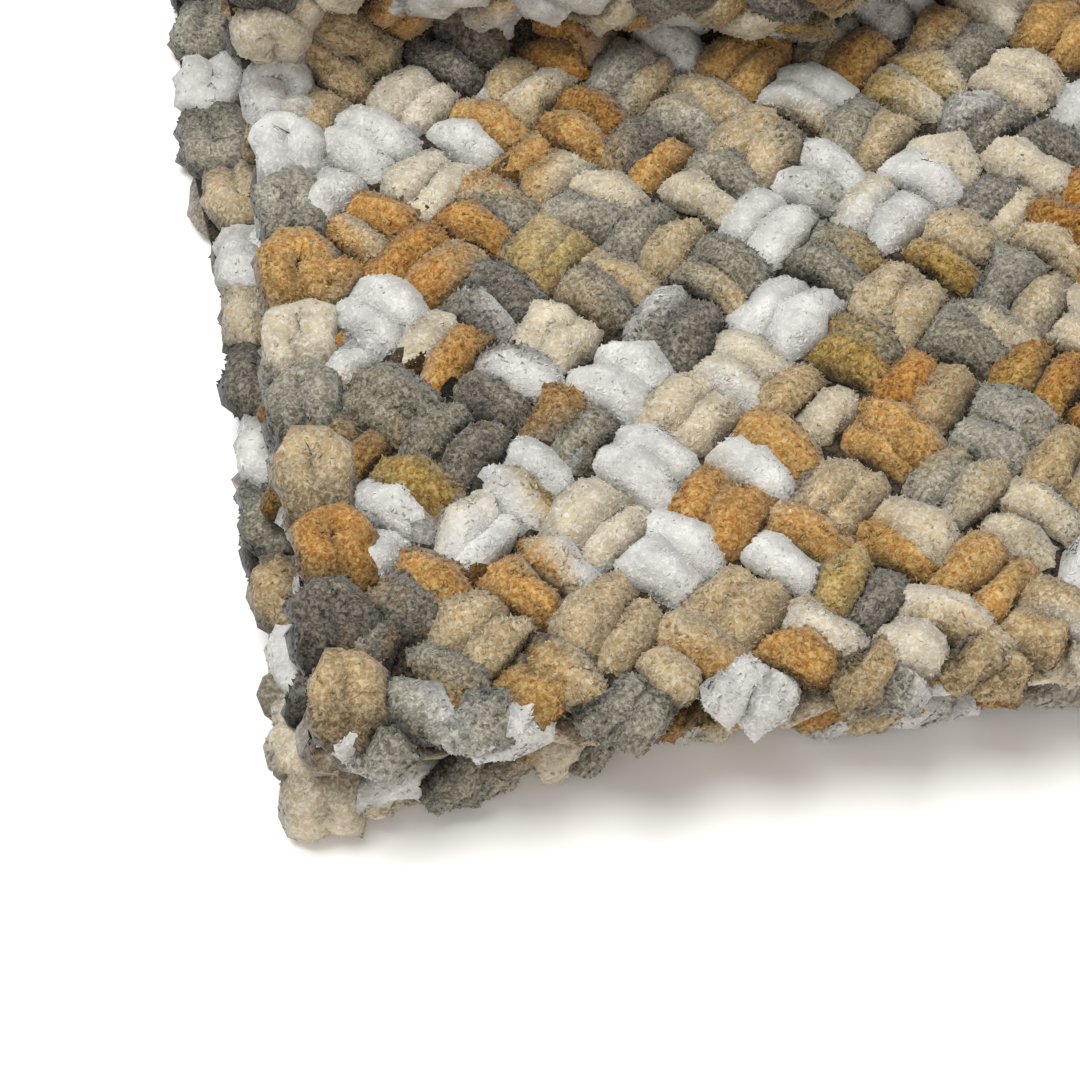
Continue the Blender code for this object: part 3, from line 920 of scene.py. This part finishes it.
for name, k_from, k_to, pile in (
    ("near_stitches", -1, 7, FULL_PILE),
    ("middle_stitches", 7, 14, FULL_PILE),
    ("pleat_stitches", 14, 20, FULL_PILE),
    ("back_stitches", 20, FOLD_ROW, LIGHT_PILE),
    ("lower_edge_stitches", ROWS - 2, ROWS + 1, EDGE_PILE),
):
    for way, lean in (("leaning_right", 1), ("leaning_left", -1)):
        legs = plaited_legs(cells_in(k_from, k_to, lean), 1, rng)
        fluff = EDGE_FLUFF if "edge" in name else 1.0
        piece(f"{name}_{way}", strand_mesh(f"{name}_{way}", legs, rng, pile, fluff=fluff), yarn)

# the underside, and the inner faces, which show only at the two side edges
inner_columns = range(STITCHES + 1)
edge_columns = (0, 1, 2, STITCHES - 2, STITCHES - 1, STITCHES)
for name, k_from, k_to, columns, face in (
    ("underside_stitches", FOLD_ROW, ROWS - 2, inner_columns, 1),
    ("inside_stitches", 0, ROWS, edge_columns, -1),
):
    cells = np.concatenate([cells_in(k_from, k_to, lean, columns) for lean in (1, -1)])
    legs = plaited_legs(cells, face, rng)
    piece(name, strand_mesh(name, legs, rng, sides=PLAIN_SIDES), yarn)

for side, right, pile in (("left", 0, LEFT_CHAIN_PILE), ("right", 1, RIGHT_CHAIN_PILE)):
    name = f"{side}_edge_chain"
    seen = together(
        side_chain(right, 1, 0, FOLD_ROW, rng),
        side_chain(right, -1, FOLD_ROW + 0.5, ROWS + 0.5, rng),
    )
    piece(name, strand_mesh(name, seen, rng, pile, fluff=EDGE_FLUFF), yarn)
    name = f"{side}_edge_chain_inside"
    hidden = together(
        side_chain(right, -1, 0, FOLD_ROW, rng),
        side_chain(right, 1, FOLD_ROW, ROWS - 0.9, rng),
    )
    piece(name, strand_mesh(name, hidden, rng, INSIDE_CHAIN_PILE, sides=PLAIN_SIDES), yarn)

name = "near_edge_ropes"
ropes = together(edge_rope(0, UPPER_TILT, rng), edge_rope(1, LOWER_TILT, rng))
piece(name, strand_mesh(name, ropes, rng, ROPES_PILE, fluff=EDGE_FLUFF), yarn)

# the inner sheet, dark with painted shade, shows in the gaps between the stitches
body = piece("cloth_body", cloth_body(), inner_shade_yarn)

# ---------------------------------------------------------------- floor, light and camera

scene = bpy.context.scene
scene.view_settings.view_transform = "Standard"

FLOOR = 6  # half the floor's side, in metres
corners = [(-FLOOR, -FLOOR, 0), (FLOOR, -FLOOR, 0), (FLOOR, FLOOR, 0), (-FLOOR, FLOOR, 0)]
floor_mesh = bpy.data.meshes.new("floor")
floor_mesh.from_pydata(corners, [], [(0, 1, 2, 3)])
floor = bpy.data.objects.new("floor", floor_mesh)
scene.collection.objects.link(floor)
# matt paper: pale, with no gloss
paper = bpy.data.materials.new("pale_paper")
paper.use_nodes = True
paper_shader = paper.node_tree.nodes["Principled BSDF"]
paper_shader.inputs["Base Color"].default_value = (*linear("F7F7F7"), 1)
paper_shader.inputs["Roughness"].default_value = 0.9
floor_mesh.materials.append(paper)

world = bpy.data.worlds.new("studio")
world.use_nodes = True
background = world.node_tree.nodes["Background"]
background.inputs["Color"].default_value = (1.0, 0.99, 0.97, 1)
background.inputs["Strength"].default_value = 0.58
scene.world = world


def soft_light(name, place, size, power, colour):
    """A square soft box facing the blanket's foot: it is tipped by the angle whose tangent is its
    way off over its height, and turned by its bearing."""
    lamp = bpy.data.lights.new(name, "AREA")
    lamp.shape = "SQUARE"
    lamp.size = size
    lamp.energy = power
    lamp.color = colour
    thing = bpy.data.objects.new(name, lamp)
    scene.collection.objects.link(thing)
    thing.location = place
    x, y, z = place
    thing.rotation_euler = (math.atan2(math.hypot(x, y), z), 0, math.atan2(x, -y))


soft_light("key_soft_box", place=(-0.5, 0.15, 1.45), size=0.8, power=22, colour=(1.0, 0.99, 0.96))
soft_light("warm_fill", place=(0.25, -1.5, 0.6), size=0.9, power=6, colour=(1.0, 0.86, 0.72))

CAMERA_PLACE = (-0.1514, -0.3995, 0.4996)
CAMERA_AZIMUTH, CAMERA_DOWN = 7.588, 57.506  # degrees right of straight back, and below level
lens = bpy.data.cameras.new("camera")
lens.lens = 90
lens.sensor_width = 36
lens.clip_start = 0.02
camera = bpy.data.objects.new("camera", lens)
scene.collection.objects.link(camera)
camera.location = CAMERA_PLACE
camera.rotation_euler = (math.radians(90 - CAMERA_DOWN), 0, -math.radians(CAMERA_AZIMUTH))
scene.camera = camera
